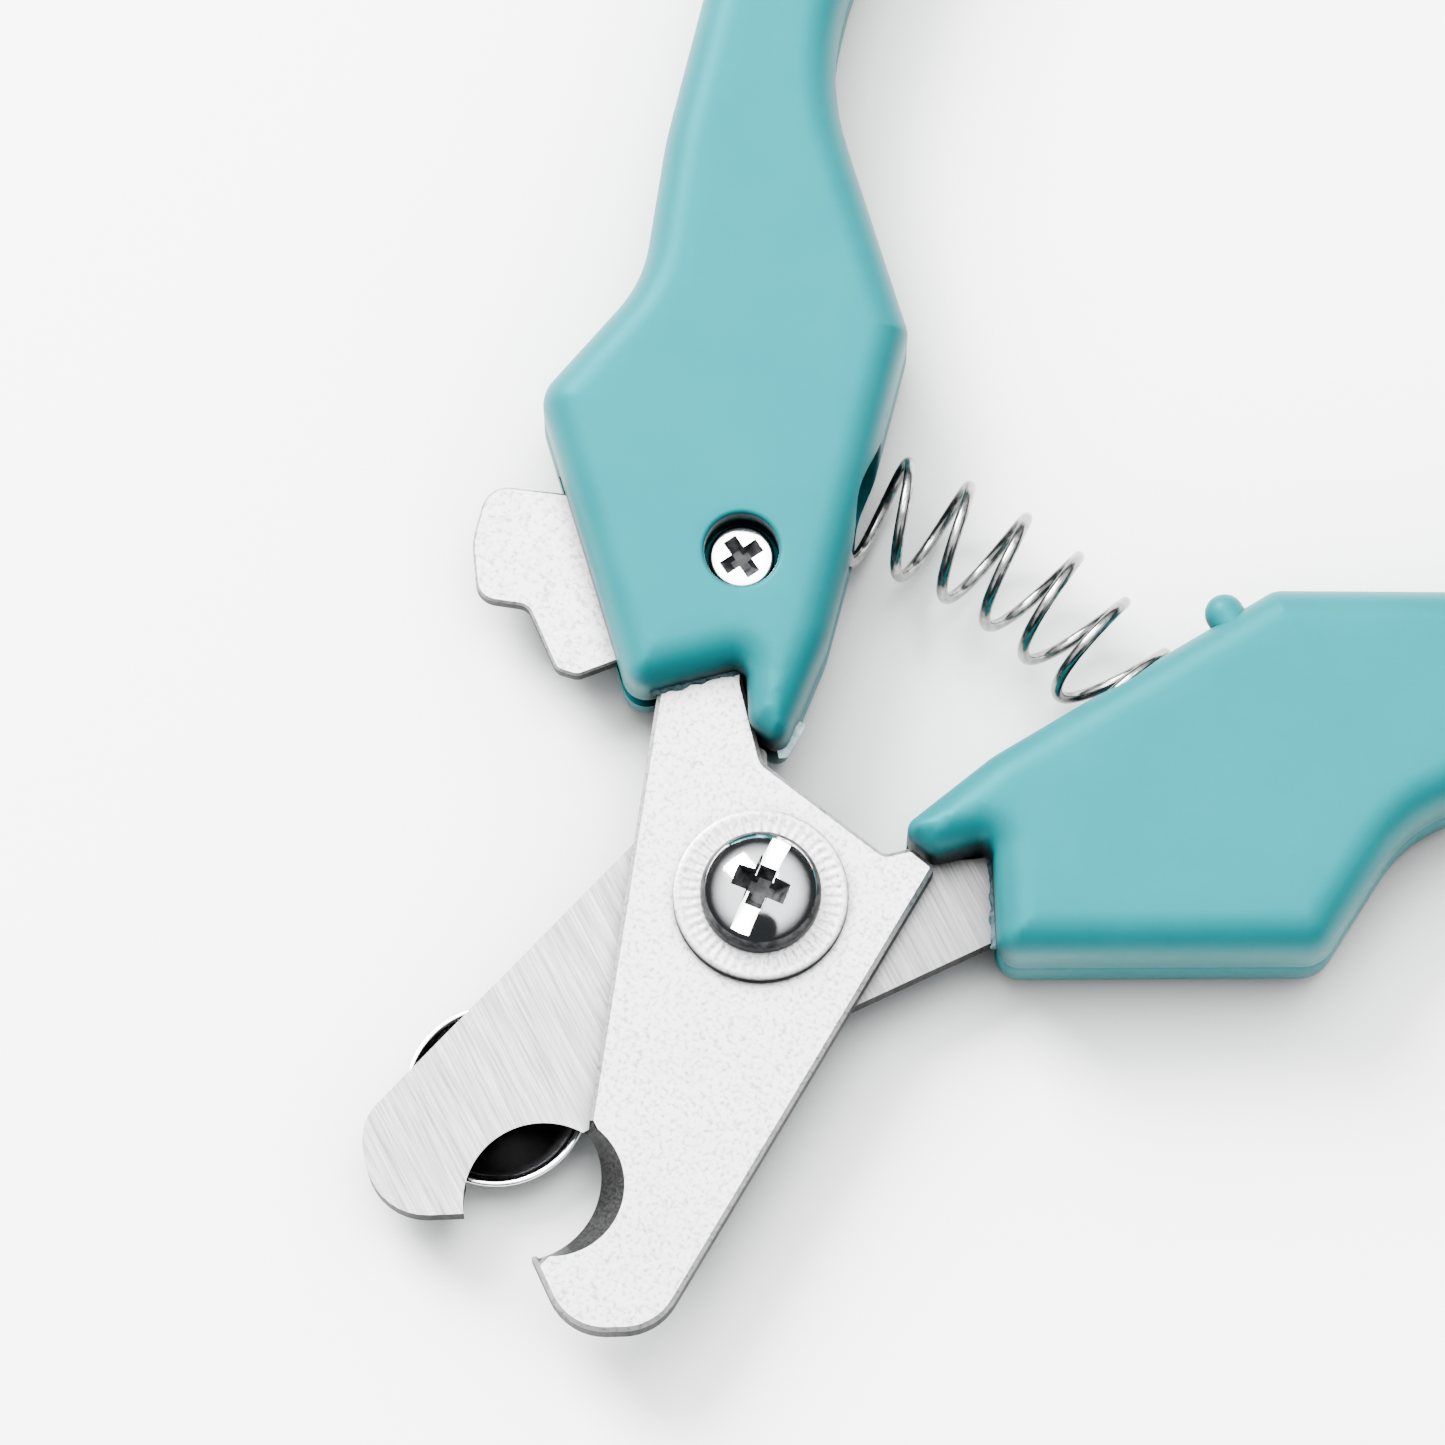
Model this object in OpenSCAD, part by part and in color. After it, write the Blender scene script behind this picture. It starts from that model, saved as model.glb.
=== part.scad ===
// Pet nail clipper with two moulded handles, crossed notched blades,
// a compression return spring, a swinging storage lock and a swinging guard cup.
// Origin: on the resting plane, below the pivot axis. +Y towards the handles,
// +X to the right seen from above, +Z up. Millimetres. Drawn fully open.

/* [Handles] */
// Thickness of a handle from its front face to its rear face
handle_t = 11; // [10.6:0.1:12]
// Depth of the bevelled border on each face of a handle
handle_bevel = 1.5; // [0.8:0.1:1.6]
// Angle between the symmetry line and the inner face of a handle
face_angle = 22.15; // [21.8:0.05:22.6]
// Half width of the grip where it leaves the head
neck_half_w = 4.7; // [4.2:0.1:5]
// Half width of the grip at its middle
grip_half_w = 5.6; // [5:0.1:6]
// Half width of the grip at its rounded end
end_half_w = 5.2; // [4.8:0.1:5.6]
// Radius of the bow of the grip's centre line
grip_bow_r = 103; // [95:1:115]
// How far the stop nub stands out of the right handle's inner face
nub_out = 1.7; // [1.5:0.05:1.8]

/* [Blades] */
// Thickness of each blade
blade_t = 2.0; // [1.8:0.1:2.2]
// Running gap between the two blades
blade_gap = 0.05; // [0.03:0.01:0.1]
// Radius of the front blade's cutting notch
notch_r_front = 5.6; // [5.2:0.1:5.8]
// Radius of the rear blade's cutting notch
notch_r_rear = 5.3; // [5:0.1:5.6]
// Radius of the notch's outer rim, on the face away from the other blade
notch_rim_r = 4.8; // [4.4:0.1:5]

/* [Pivot] */
// Diameter of the pivot screw's shank
pivot_d = 4.0; // [3.8:0.1:4.2]
// Radial running clearance of the moving bores on the pivot screw
run_gap = 0.05; // [0.03:0.01:0.1]
// Diameter of the pivot screw's pan head
pan_d = 8.0; // [7.8:0.1:8.4]
// Height of the pivot screw's pan head
pan_h = 3.1; // [2.6:0.1:3.2]
// Outer diameter of the serrated washer
washer_d = 11.6; // [11:0.1:12]
// Thickness of the serrated washer
washer_t = 1.0; // [0.8:0.1:1.1]
// Height of the thin hexagon nut
nut_h = 2.2; // [2:0.05:2.25]
// Distance across the flats of the thin hexagon nut
nut_af = 7.0; // [6.8:0.1:7.2]

/* [Lock] */
// Thickness of the lock plate
lock_t = 1.3; // [1.1:0.1:1.35]
// Radius of the lock plate's hub
lock_hub_r = 3.2; // [3:0.1:3.3]
// Shank diameter of the lock screw
lock_screw_d = 2.3; // [2:0.1:2.5]
// Head diameter of the lock screw
lock_head_d = 4.4; // [4.2:0.1:4.6]
// Diameter of the recess around the lock screw's head
lock_recess_d = 5.0; // [4.9:0.1:5.4]

/* [Guard] */
// Outer diameter of the guard cup
cup_d = 12.3; // [11.6:0.1:12.6]
// Distance of the cup's centre from the pivot
cup_reach = 21.4; // [20.6:0.1:22]
// Angle of the guard arm from the symmetry line as drawn
guard_angle = 18.1; // [16:0.1:20]
// Sheet thickness of the cup
cup_wall = 0.4; // [0.3:0.05:0.5]
// Thickness of the guard arm
arm_t = 0.8; // [0.7:0.05:0.8]

/* [Spring] */
// Outer diameter of the return spring
spring_od = 8.2; // [7.6:0.1:8.3]
// Wire diameter of the return spring
wire_d = 0.8; // [0.6:0.05:0.9]
// Distance of the spring's axis from the pivot
spring_reach = 28.3; // [27.8:0.1:28.6]
// Angle turned about the pivot by one turn of the spring
coil_step = 7.9; // [7:0.1:8.2]
// Depth of the two spring pockets
pocket_depth = 3.6; // [3.2:0.1:3.8]

/* [Hidden] */

fine = 64;
soft = 32;
cut = 0.5;

mid_z = handle_t / 2;
bevel_in = 0.65 * handle_bevel;
front_z = mid_z + blade_t;
rear_z = mid_z - blade_gap - blade_t;
pocket_d = spring_od + 0.5;
pin_d = 2.4;
pin_z = 1.6;
pin_h = handle_t - 2 * pin_z;
bore_d = pivot_d + 2 * run_gap;

// Lock stack: washer, plate and nut around the lock screw
lock_axis = [-14.7, 17.7];
lock_z = mid_z - 0.2 - lock_t;
lock_washer_t = 0.3;
lock_floor_z = lock_z - lock_washer_t;
lock_head_top = handle_t - 1.9;
lock_head_h = 1.1;
lock_nut_af = 4.0;
lock_nut_h = 1.4;
lock_nut_z = 1.0;

// Pivot stack below the rear blade
spring_washer_t = 0.2;
arm_z = nut_h + spring_washer_t;
guard_washer_t = rear_z - arm_z - arm_t;
cup_floor_z = 1.25;
cup_rim_z = 3.2;
rivet_d = 1.6;

teal = [0.37, 0.80, 0.81];
steel = [0.80, 0.80, 0.79];
bright = [0.90, 0.90, 0.92];

function unit(v) = v / norm(v);
function polar(r, a) = r * [cos(a), sin(a)];
// Signed difference of two angles, between -180 and 180
function turn(a, b) = let (d = b - a) d - 360 * round(d / 360);
// Arc of radius r that rounds the corner p between its neighbours a and b
function corner(a, p, b, r, n = 6) =
    let (u = unit(a - p), w = unit(b - p), half = acos(u * w) / 2,
         c = p + unit(u + w) * r / sin(half),
         s = p + u * r / tan(half) - c,
         e = p + w * r / tan(half) - c,
         a0 = atan2(s.y, s.x), sweep = turn(a0, atan2(e.y, e.x)))
    [for (i = [0:n]) c + polar(r, a0 + sweep * i / n)];
// Polygon with every corner [x, y, radius] of the list rounded
function rounded(list) = let (n = len(list), xy = [for (p = list) [p.x, p.y]])
    [for (i = [0:n - 1]) each corner(xy[(i + n - 1) % n], xy[i], xy[(i + 1) % n], list[i][2])];

// ---- handle outline, right-hand side ----

// Head of the handle from the inner corner, round the nose, mouth and heel
head_outer = [[4.75, 8.85, 0.9], [7.6, 8.95, 1.5], [10.1, 12.0, 0.8], [13.8, 7.5, 0.8],
    [15.1, 5.8, 1.6], [32.3, 18.7, 2.4], [31.5, 29.2, 9], [36.3, 38.3, 30]];
head_inner = [[30.1, 48.0, 18], [15.05, 36.97, 1.6], [6.75, 16.58, 8]];
grip_start = [37.2, 52.7];
grip_head_in = 22.5;
grip_head_out = -2;
grip_n = 12;
// Centre line of the grip, an arc that bows back towards the symmetry line
function grip_a(t) = grip_head_in + (grip_head_out - grip_head_in) * t;
function grip_c(t) = grip_start + grip_bow_r * [cos(grip_a(t)) - cos(grip_head_in),
                                                sin(grip_head_in) - sin(grip_a(t))];
// Half width: neck, swelling to the middle, tapering to the end
function grip_w(t) = neck_half_w * (1 - t) + end_half_w * t
    + (grip_half_w - (neck_half_w + end_half_w) / 2) * sin(180 * t);
function grip_p(t, side) = grip_c(t) + side * grip_w(t) * [cos(grip_a(t)), -sin(grip_a(t))];
grip_side = [for (i = [0:grip_n]) grip_p(i / grip_n, 1)];
grip_back = [for (i = [grip_n:-1:0]) grip_p(i / grip_n, -1)];
grip_cap = [for (i = [1:11]) grip_c(1) + polar(end_half_w, 180 * i / 12 - grip_head_out)];

function head_ring() =
    let (ring = concat(head_outer, [[grip_side[0].x, grip_side[0].y, 1]],
                       [[grip_back[grip_n].x, grip_back[grip_n].y, 1]], head_inner),
         n = len(ring), m = len(head_outer), xy = [for (p = ring) [p.x, p.y]])
    [for (i = [0:n - 1]) (i == m || i == m + 1) ? [xy[i]]
        : corner(xy[(i + n - 1) % n], xy[i], xy[(i + 1) % n], ring[i][2])];

function handle_outline() =
    let (ring = head_ring(), m = len(head_outer))
    concat([for (i = [0:m - 1]) each ring[i]], grip_side, grip_cap, grip_back,
           [for (i = [m + 2:len(ring) - 1]) each ring[i]]);

module handle_half(z0, z1, bevel_at_top) {
    bevel_z = bevel_at_top ? z1 - handle_bevel : z0;
    body_z = bevel_at_top ? z0 : z0 + handle_bevel;
    translate([0, 0, body_z])
        linear_extrude(z1 - z0 - handle_bevel) polygon(handle_outline());
    translate([0, 0, bevel_z])
        linear_extrude(handle_bevel) offset(delta = -bevel_in) polygon(handle_outline());
}

// Point inside the right handle: distance along the inner face and depth from it
function seat(along, depth) = along * [sin(face_angle), cos(face_angle)]
    + depth * [cos(face_angle), -sin(face_angle)];
pins = [seat(27.5, 8.2), seat(33.5, 9.2)];

module at_pins() {
    for (p = pins) translate([p.x, p.y, 0]) children();
}

// Spring pocket, sunk square to the inner face of the right handle
module spring_pocket() {
    p = seat(spring_reach, -cut);
    translate([p.x, p.y, mid_z]) rotate([0, 0, -face_angle]) rotate([0, 90, 0])
        cylinder(d = pocket_d, h = pocket_depth + cut, $fn = fine);
}

// Rounded rest that meets the other handle when the clipper is squeezed shut
nub_along = 36.3;
nub_z = mid_z + 3.1;
nub_d = 2.7;
nub_dome_r = 1.5;
module stop_nub() {
    root = 1.5;
    p = seat(nub_along, root);
    translate([p.x, p.y, nub_z]) rotate([0, 0, -face_angle]) rotate([0, -90, 0]) intersection() {
        cylinder(d = nub_d, h = root + nub_out, $fn = soft);
        translate([0, 0, root + nub_out - nub_dome_r]) sphere(r = nub_dome_r, $fn = fine);
    }
}

// ---- blades, drawn as the front blade ----

tang_clear = 0.1;
front_tip = [[0.15, -19.2, 0.2], [2.3, -28.3, 0.3], [7.2, -31.0, 4], [11.9, -27.3, 4]];
rear_tip = [[0.15, -19.2, 0.2], [2.9, -28.1, 0.3], [7.6, -31.9, 4], [12.5, -27.7, 3.5]];
blade_body = [[8.0, 8.6, 0.4], [5.95, 8.7, 0.4], [4.8, 7.3, 0.7], [-5.4, 7.55, 1.2],
    [-9.9, 11.3, 2], [-10.8, 14.2, 2], [-17.9, 31.6, 2], [-23.8, 29.4, 2], [-18.0, 15.0, 4]];
notch_rim = [0.5, -23.7];

// Notch with a bevel from the cutting edge at z = 0 out to the rim at z = blade_t
module notch(centre, r) {
    skin = 0.01;
    translate([centre.x, centre.y, -cut]) cylinder(r = r, h = blade_t + 2 * cut, $fn = fine);
    hull() {
        translate([centre.x, centre.y, -skin]) cylinder(r = r, h = skin, $fn = soft);
        translate([notch_rim.x, notch_rim.y, blade_t]) cylinder(r = notch_rim_r, h = skin, $fn = soft);
    }
}

module blade(tip, centre, r) {
    difference() {
        linear_extrude(blade_t) polygon(rounded(concat(tip, blade_body)));
        translate([0, 0, -cut]) cylinder(d = bore_d, h = blade_t + 2 * cut, $fn = fine);
        mirror([1, 0, 0]) at_pins()
            translate([0, 0, -cut]) cylinder(d = pin_d, h = blade_t + 2 * cut, $fn = fine);
        notch(centre, r);
    }
}

module front_blade() {
    color(steel) difference() {
        translate([0, 0, mid_z]) blade(front_tip, [-1.9, -24.4], notch_r_front);
        translate([lock_axis.x, lock_axis.y, mid_z - cut])
            cylinder(d = lock_screw_d + 0.2, h = blade_t + 2 * cut, $fn = fine);
    }
}

module rear_blade() {
    color(steel) translate([0, 0, mid_z - blade_gap]) mirror([1, 0, 0]) mirror([0, 0, 1])
        blade(rear_tip, [-0.5, -24.6], notch_r_rear);
}

// Slot for a blade's tang, cut from a right-hand handle half between two heights
module tang_slot(z0, h) {
    translate([0, 0, z0]) mirror([1, 0, 0])
        linear_extrude(h) offset(delta = tang_clear) polygon(rounded(concat(front_tip, blade_body)));
}

module pin_holes() {
    at_pins() translate([0, 0, pin_z]) cylinder(d = pin_d, h = pin_h, $fn = fine);
}

// ---- handles ----

module front_half() {
    difference() {
        handle_half(mid_z, handle_t, true);
        spring_pocket();
        pin_holes();
    }
}

module rear_half() {
    difference() {
        handle_half(0, mid_z, false);
        spring_pocket();
        pin_holes();
    }
}

module left_handle_front() {
    color(teal) difference() {
        mirror([1, 0, 0]) front_half();
        mirror([1, 0, 0]) tang_slot(mid_z - cut, blade_t + tang_clear + cut);
        translate([lock_axis.x, lock_axis.y, mid_z - cut])
            cylinder(d = lock_screw_d + 0.2, h = handle_t, $fn = fine);
        translate([lock_axis.x, lock_axis.y, lock_head_top - lock_head_h])
            cylinder(d = lock_recess_d, h = handle_t, $fn = fine);
    }
}

module right_handle_front() {
    color(teal) union() {
        front_half();
        stop_nub();
    }
}

module right_handle_rear() {
    color(teal) difference() {
        rear_half();
        tang_slot(mid_z - blade_gap - blade_t - tang_clear, blade_t + blade_gap + tang_clear + cut);
    }
}

// Space in the rear half of the left handle that the lock plate sweeps
lock_room_r = 20;
lock_room = [186.5, 309];
module lock_room() {
    room_n = 8;
    h = mid_z - lock_z + 0.15 + cut;
    fan = [for (i = [0:room_n])
        polar(lock_room_r, lock_room[0] + (lock_room[1] - lock_room[0]) * i / room_n)];
    translate([lock_axis.x, lock_axis.y, lock_z - 0.15]) {
        linear_extrude(h) polygon(concat([[0, 0]], fan));
        cylinder(r = lock_hub_r + 0.3, h = h, $fn = fine);
    }
}

module left_handle_rear() {
    color(teal) difference() {
        mirror([1, 0, 0]) rear_half();
        lock_room();
        translate([lock_axis.x, lock_axis.y, lock_floor_z])
            cylinder(r = lock_hub_r, h = handle_t, $fn = fine);
        translate([lock_axis.x, lock_axis.y, -cut])
            cylinder(d = lock_screw_d, h = handle_t, $fn = fine);
        translate([lock_axis.x, lock_axis.y, -cut])
            cylinder(d = lock_nut_af / cos(30), h = lock_nut_z + lock_nut_h + cut, $fn = 6);
    }
}

module tang_pins() {
    color(bright) at_pins() translate([0, 0, pin_z]) cylinder(d = pin_d, h = pin_h, $fn = fine);
}

module left_tang_pins() {
    mirror([1, 0, 0]) tang_pins();
}

module right_tang_pins() {
    tang_pins();
}

// ---- pivot ----

slot_angle = 12;
slot_w = 1.3;
slot_depth = 1.2;
module pivot_screw() {
    head_z = front_z + washer_t;
    dome = 1.3;
    dome_r = (pow(pan_d / 2, 2) + pow(dome, 2)) / (2 * dome);
    color(bright) difference() {
        union() {
            cylinder(d = pivot_d, h = head_z + cut, $fn = fine);
            intersection() {
                translate([0, 0, head_z]) cylinder(d = pan_d, h = pan_h, $fn = fine);
                translate([0, 0, head_z + pan_h - dome_r]) sphere(r = dome_r, $fn = fine);
            }
        }
        translate([0, 0, head_z + pan_h - slot_depth / 2]) rotate([0, 0, slot_angle])
            cube([slot_w, pan_d + 1, slot_depth + 0.1], center = true);
        translate([0, 0, head_z + pan_h - slot_depth]) rotate([0, 0, slot_angle])
            cube([3.6, slot_w, slot_depth + 0.8], center = true);
    }
}

module ring(d_out, d_in, z, t) {
    translate([0, 0, z]) difference() {
        cylinder(d = d_out, h = t, $fn = fine);
        translate([0, 0, -cut]) cylinder(d = d_in, h = t + 2 * cut, $fn = fine);
    }
}

module pivot_washer() {
    color(steel) ring(washer_d, pivot_d + 0.3, front_z, washer_t);
}

module guard_washer() {
    color(steel) ring(8, bore_d, arm_z + arm_t, guard_washer_t);
}

module pivot_spring_washer() {
    color(steel) ring(7.6, bore_d, nut_h, spring_washer_t);
}

module pivot_nut() {
    color(bright) difference() {
        cylinder(d = nut_af / cos(30), h = nut_h, $fn = 6);
        translate([0, 0, -cut]) cylinder(d = pivot_d, h = nut_h + 2 * cut, $fn = fine);
    }
}

// ---- lock ----

// Corners of the plate relative to the lock screw, with their radii
lock_outline = [[-17.3, -5.2, 1.8], [-15.8, -9.0, 5], [-13.1, -12.0, 1.5], [-10.1, -10.4, 1.0],
    [-5.9, -12.8, 0.9], [-4.5, -12.3, 0.9], [-2.9, -9.8, 1.5],
    [-1.0, -2.9, 0.2], [-2.6, -0.5, 0.2], [-11.5, -1.9, 1.5]];
module lock_plate() {
    color(steel) translate([lock_axis.x, lock_axis.y, lock_z]) difference() {
        union() {
            linear_extrude(lock_t) polygon(rounded(lock_outline));
            cylinder(r = lock_hub_r, h = lock_t, $fn = fine);
        }
        translate([0, 0, -cut])
            cylinder(d = lock_screw_d + 2 * run_gap, h = lock_t + 2 * cut, $fn = fine);
    }
}

module lock_screw() {
    color(bright) translate([lock_axis.x, lock_axis.y, 0]) difference() {
        union() {
            translate([0, 0, lock_nut_z]) cylinder(d = lock_screw_d, h = lock_head_top - lock_nut_z - cut,
                                                   $fn = fine);
            translate([0, 0, lock_head_top - lock_head_h])
                cylinder(d = lock_head_d, h = lock_head_h, $fn = fine);
        }
        for (a = [34, 124]) translate([0, 0, lock_head_top]) rotate([0, 0, a])
            cube([2.6, 0.7, 1.2], center = true);
    }
}

module lock_washer() {
    color(steel) translate([lock_axis.x, lock_axis.y, 0])
        ring(5.6, lock_screw_d, lock_floor_z, lock_washer_t);
}

module lock_nut() {
    color(bright) translate([lock_axis.x, lock_axis.y, lock_nut_z]) difference() {
        cylinder(d = lock_nut_af / cos(30), h = lock_nut_h, $fn = 6);
        translate([0, 0, -cut]) cylinder(d = lock_screw_d, h = lock_nut_h + 2 * cut, $fn = fine);
    }
}

// ---- guard, drawn along -Y and turned to its stowed angle ----

arm_low_z = cup_floor_z - arm_t;
arm_w = 5.6;
module guard_arm() {
    // Side view of the joggled strip: distance from the pivot, height
    step = [7, 10.5];
    side = [[-5, arm_z], [step[0], arm_z], [step[1], arm_low_z], [cup_reach + 4, arm_low_z],
        [cup_reach + 4, cup_floor_z], [step[1] + 0.3, cup_floor_z], [step[0] + 0.3, arm_z + arm_t],
        [-5, arm_z + arm_t]];
    color(steel) rotate([0, 0, -guard_angle]) difference() {
        intersection() {
            rotate([90, 0, 0]) rotate([0, 90, 0]) translate([0, 0, -6])
                linear_extrude(12) polygon([for (p = side) [p.x, p.y]]);
            linear_extrude(4) union() {
                circle(r = 4.2, $fn = fine);
                translate([-arm_w / 2, -cup_reach]) square([arm_w, cup_reach]);
                translate([0, -cup_reach]) circle(d = arm_w, $fn = fine);
            }
        }
        translate([0, 0, -cut]) cylinder(d = bore_d, h = 5, $fn = fine);
        translate([0, -cup_reach, -cut]) cylinder(d = rivet_d, h = 5, $fn = fine);
    }
}

module guard_cup() {
    r = cup_d / 2;
    flat = 2.6;
    n = 6;
    // Half section: flat floor, then a quarter-sine wall up to the rim
    outer = [for (i = [0:n]) [flat + (r - flat) * sin(90 * i / n),
                              cup_floor_z + (cup_rim_z - cup_floor_z) * (1 - cos(90 * i / n))]];
    inner = [for (i = [n:-1:0]) [flat + (r - cup_wall - flat) * sin(90 * i / n),
                                 cup_floor_z + cup_wall
                                     + (cup_rim_z - cup_floor_z - cup_wall) * (1 - cos(90 * i / n))]];
    hole = [rivet_d / 2, cup_floor_z];
    color(bright) rotate([0, 0, -guard_angle]) translate([0, -cup_reach, 0])
        rotate_extrude($fn = fine)
            polygon(concat([hole], outer, [[r - cup_wall, cup_rim_z]], inner, [hole + [0, cup_wall]]));
}

module guard_rivet() {
    head_d = 2.8;
    head_h = 0.3;
    top_z = cup_floor_z + cup_wall;
    color(bright) rotate([0, 0, -guard_angle]) translate([0, -cup_reach, 0]) {
        translate([0, 0, arm_low_z - head_h]) cylinder(d = head_d, h = head_h, $fn = fine);
        translate([0, 0, arm_low_z - head_h])
            cylinder(d = rivet_d, h = top_z + head_h - arm_low_z + head_h, $fn = fine);
        translate([0, 0, top_z]) cylinder(d = head_d, h = head_h, $fn = fine);
    }
}

// ---- return spring ----

wire_sides = 6;
steps_per_turn = 16;
coil_r = (spring_od - wire_d) / 2;
pocket_room = pocket_depth - wire_d / 2 - 0.1;
arc_len = spring_reach * 2 * face_angle * PI / 180;
open_pitch = spring_reach * coil_step * PI / 180;
closed_pitch = 0.9;
coil_phase = 0;
spring_len = arc_len + 2 * pocket_room;
open_turns = (spring_len - 2 * closed_pitch) / open_pitch;
turns = open_turns + 2;
// Distance along the axis after t turns: one closed turn at each end, open turns between
function s_of_turn(t) = t < 1 ? t * closed_pitch
    : t < 1 + open_turns ? closed_pitch + (t - 1) * open_pitch
    : spring_len - (turns - t) * closed_pitch;
// Point and direction of the spring's axis: straight in each pocket, bent between
function axis_a(s) = face_angle - min(max((s - pocket_room) / arc_len, 0), 1) * 2 * face_angle;
function axis_p(s) =
    let (a = axis_a(s), over = s < pocket_room ? s - pocket_room : max(0, s - pocket_room - arc_len))
    spring_reach * [-sin(a), cos(a)] + over * [cos(a), sin(a)];
function wire_p(t) =
    let (s = s_of_turn(t), a = axis_a(s), c = axis_p(s), w = 360 * t + coil_phase)
    [c.x - sin(a) * coil_r * cos(w), c.y + cos(a) * coil_r * cos(w), mid_z + coil_r * sin(w)];
rings = round(turns * steps_per_turn);
function wire_ring(k) =
    let (t = k / rings * turns, dt = 0.01, p = wire_p(t), d = unit(wire_p(t + dt) - wire_p(t - dt)),
         c = axis_p(s_of_turn(t)), out = unit([p.x - c.x, p.y - c.y, p.z - mid_z]),
         u = unit(out - (out * d) * d), w = cross(d, u))
    [for (j = [0:wire_sides - 1])
        p + wire_d / 2 * (u * cos(360 * j / wire_sides) + w * sin(360 * j / wire_sides))];

module return_spring() {
    pts = [for (k = [0:rings]) each wire_ring(k)];
    sides = [for (k = [0:rings - 1], j = [0:wire_sides - 1])
        let (a = k * wire_sides + j, b = k * wire_sides + (j + 1) % wire_sides)
        each [[a, b, b + wire_sides], [a, b + wire_sides, a + wire_sides]]];
    first = [for (j = [wire_sides - 1:-1:0]) j];
    last = [for (j = [0:wire_sides - 1]) rings * wire_sides + j];
    color(bright) polyhedron(points = pts, faces = concat(sides, [first, last]));
}

left_handle_front();
left_handle_rear();
right_handle_front();
right_handle_rear();
front_blade();
rear_blade();
left_tang_pins();
right_tang_pins();
pivot_screw();
pivot_washer();
pivot_spring_washer();
guard_washer();
pivot_nut();
lock_plate();
lock_screw();
lock_washer();
lock_nut();
guard_arm();
guard_cup();
guard_rivet();
return_spring();
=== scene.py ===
import math

import bpy
import numpy as np
from mathutils import Matrix, Vector
from mathutils.geometry import delaunay_2d_cdt


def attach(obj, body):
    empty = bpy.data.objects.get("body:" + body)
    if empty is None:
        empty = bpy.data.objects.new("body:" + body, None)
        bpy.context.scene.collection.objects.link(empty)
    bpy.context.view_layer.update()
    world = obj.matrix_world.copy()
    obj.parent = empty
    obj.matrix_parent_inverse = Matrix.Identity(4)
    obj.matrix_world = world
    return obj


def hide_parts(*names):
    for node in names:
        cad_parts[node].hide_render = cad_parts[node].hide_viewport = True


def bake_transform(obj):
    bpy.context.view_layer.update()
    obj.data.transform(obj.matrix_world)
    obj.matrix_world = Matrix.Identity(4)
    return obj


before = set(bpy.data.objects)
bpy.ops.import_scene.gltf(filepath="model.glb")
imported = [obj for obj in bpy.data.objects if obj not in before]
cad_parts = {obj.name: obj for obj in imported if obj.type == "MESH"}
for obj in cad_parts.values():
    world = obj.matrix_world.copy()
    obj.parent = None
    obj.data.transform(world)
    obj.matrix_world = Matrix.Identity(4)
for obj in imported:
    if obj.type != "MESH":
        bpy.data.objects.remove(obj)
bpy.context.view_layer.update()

MM = 0.001  # a millimetre in the frame's metres
TINY = 1e-12  # keeps a division away from zero
ON_AXIS = 1e-6  # a profile point nearer than this is on the axis
BATCH = 400  # points per step in distance(), to limit memory

# ---- sizes, in millimetres, in the row frame ----

HANDLE_T = 11.0
MID_Z = HANDLE_T / 2
FACE_ANGLE = math.radians(22.15)
EDGE_R = 2.6
SEAM = 0.07
BLADE_T = 2.0
BLADE_GAP = 0.05
FRONT_Z = MID_Z + BLADE_T
REAR_TOP = MID_Z - BLADE_GAP
WASHER_TOP = FRONT_Z + 1.0
CHAMFER = 0.28
SPRING_REACH = 28.3
SPRING_OD = 8.2
WIRE_D = 0.78
POCKET_DEPTH = 3.6
LOCK_AXIS = (-14.7, 17.7)
LOCK_T = 1.3
LOCK_Z = MID_Z - 0.2 - LOCK_T
LOCK_HEAD_TOP = HANDLE_T - 1.9
LOCK_HEAD_T = 1.1
LOCK_PLAY = 0.15
NUT_FLATS = 4.1
NUT_ROOM_TOP = 2.4
NUB_REACH = 36.3
NUB_RISE = 3.1
CUP_REACH = 21.4
GUARD_ANGLE = math.radians(18.1)

# ---- how finely the meshes follow the shapes, in millimetres ----

OUTLINE_STEP = 0.45
FACE_STEP = 1.4
BLADE_STEP = 0.25
SAME_POINT = 0.02
EDGE_STEPS = 9
HANDLE_SMOOTH = 50.0


# ---- outlines ----

def polar(r, a):
    """Vector of length r at the angle a from +X."""
    return np.array([r * math.cos(a), r * math.sin(a)])


def unit(v):
    return v / np.linalg.norm(v)


def arc(centre, r, start, sweep, n):
    """Points on an arc, from the angle start through the angle sweep."""
    return [np.array(centre) + polar(r, start + sweep * i / n) for i in range(n + 1)]


def corner(a, p, b, r, n=8):
    """Arc of radius r that rounds the corner p between its neighbours a and b."""
    u = unit(a - p)
    w = unit(b - p)
    half = math.acos(max(-1.0, min(1.0, float(u @ w)))) / 2
    c = p + unit(u + w) * r / math.sin(half)
    s = p + u * r / math.tan(half) - c
    e = p + w * r / math.tan(half) - c
    start = math.atan2(s[1], s[0])
    sweep = math.atan2(e[1], e[0]) - start
    sweep -= 2 * math.pi * round(sweep / (2 * math.pi))
    return arc(c, r, start, sweep, n)


def rounded(points):
    """Closed outline through corners (x, y, radius)."""
    xy = [np.array(p[:2], float) for p in points]
    out = []
    for i, p in enumerate(points):
        out += corner(xy[i - 1], xy[i], xy[(i + 1) % len(xy)], p[2])
    return np.array(out)


def mirrored(loop):
    """The left-hand twin of a right-hand outline."""
    return (np.array(loop) * [-1, 1])[::-1]


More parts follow.
